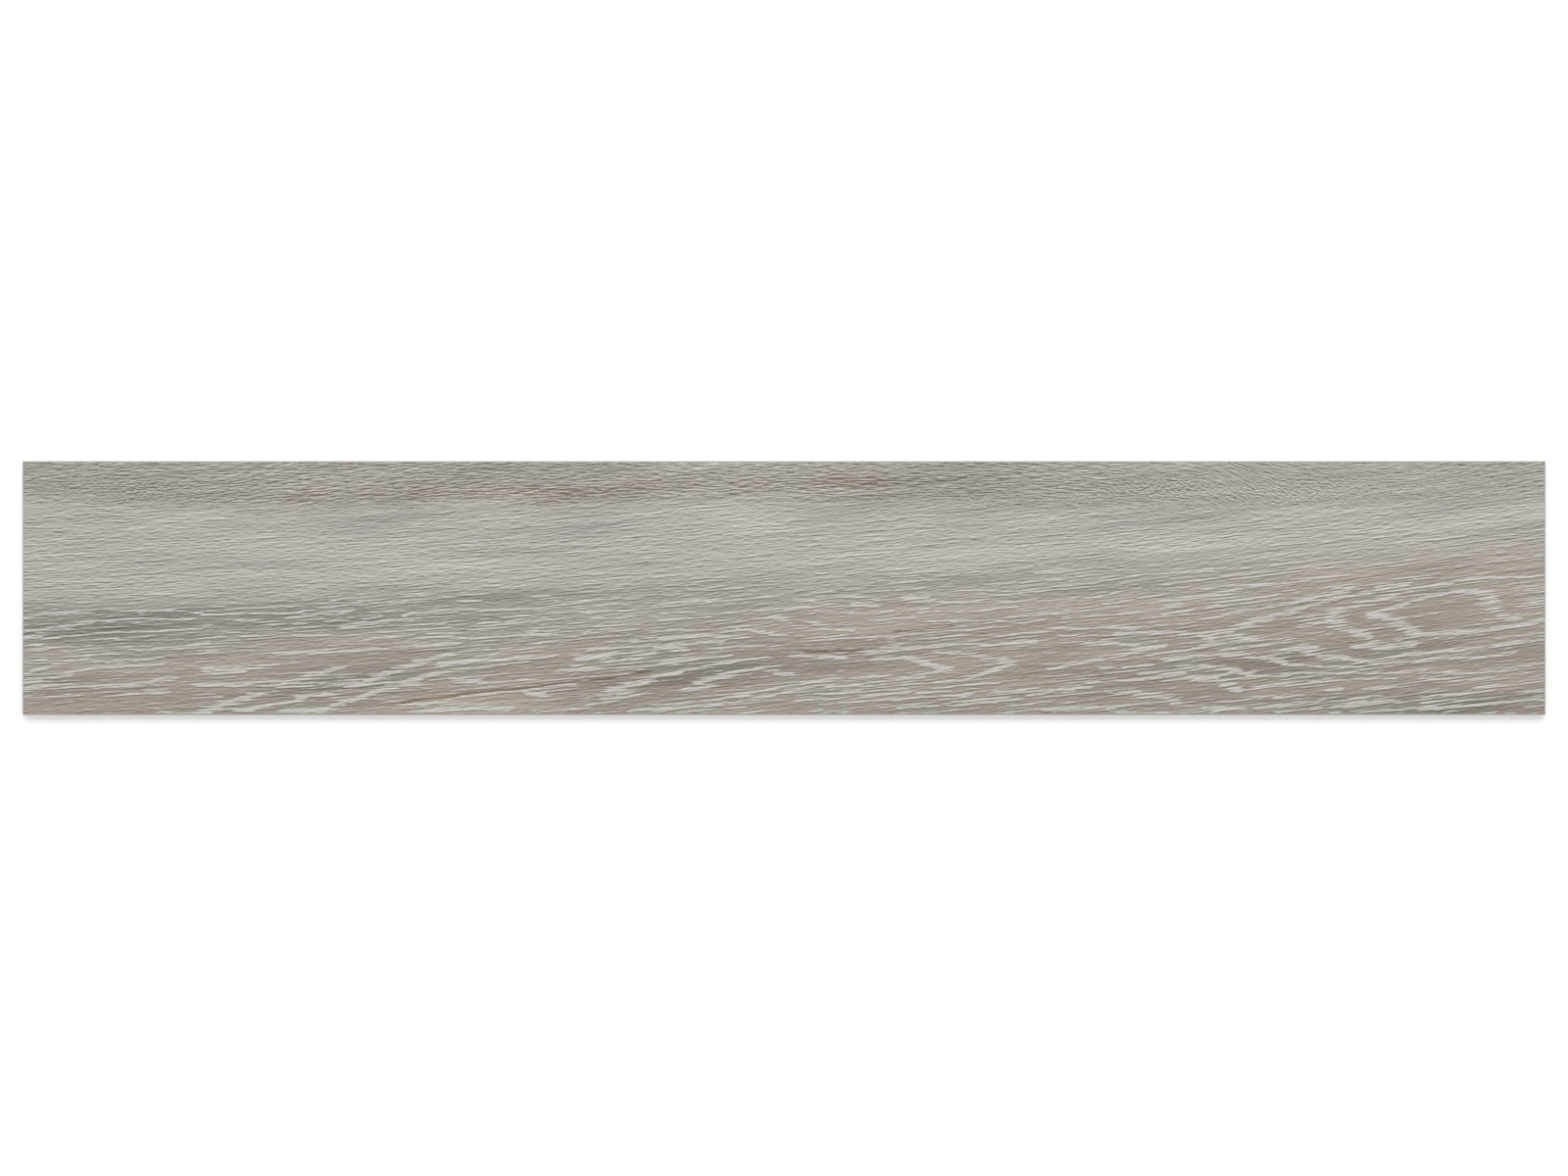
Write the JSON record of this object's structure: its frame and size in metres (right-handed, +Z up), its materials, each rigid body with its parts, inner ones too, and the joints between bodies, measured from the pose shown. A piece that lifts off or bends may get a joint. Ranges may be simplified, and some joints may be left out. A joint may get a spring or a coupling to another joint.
{
  "type": "wood look porcelain plank tile",
  "caption": "Long rectangular porcelain plank for floors or walls, with a matt limed-oak grain face, ground edges with a fine bevel, and a waffle-keyed back for adhesive.",
  "frame": {"origin": "middle of the back, on the plane that the tile is bedded on", "axes": "+X along the plank, +Y across it, +Z up out of the wood-grain face"},
  "size_m": [1.2, 0.2, 0.009],
  "materials": {
    "glazed_porcelain": "matte"
  },
  "bodies": {
    "root": {"plank_tile": "glazed_porcelain"}
  },
  "joints": []
}
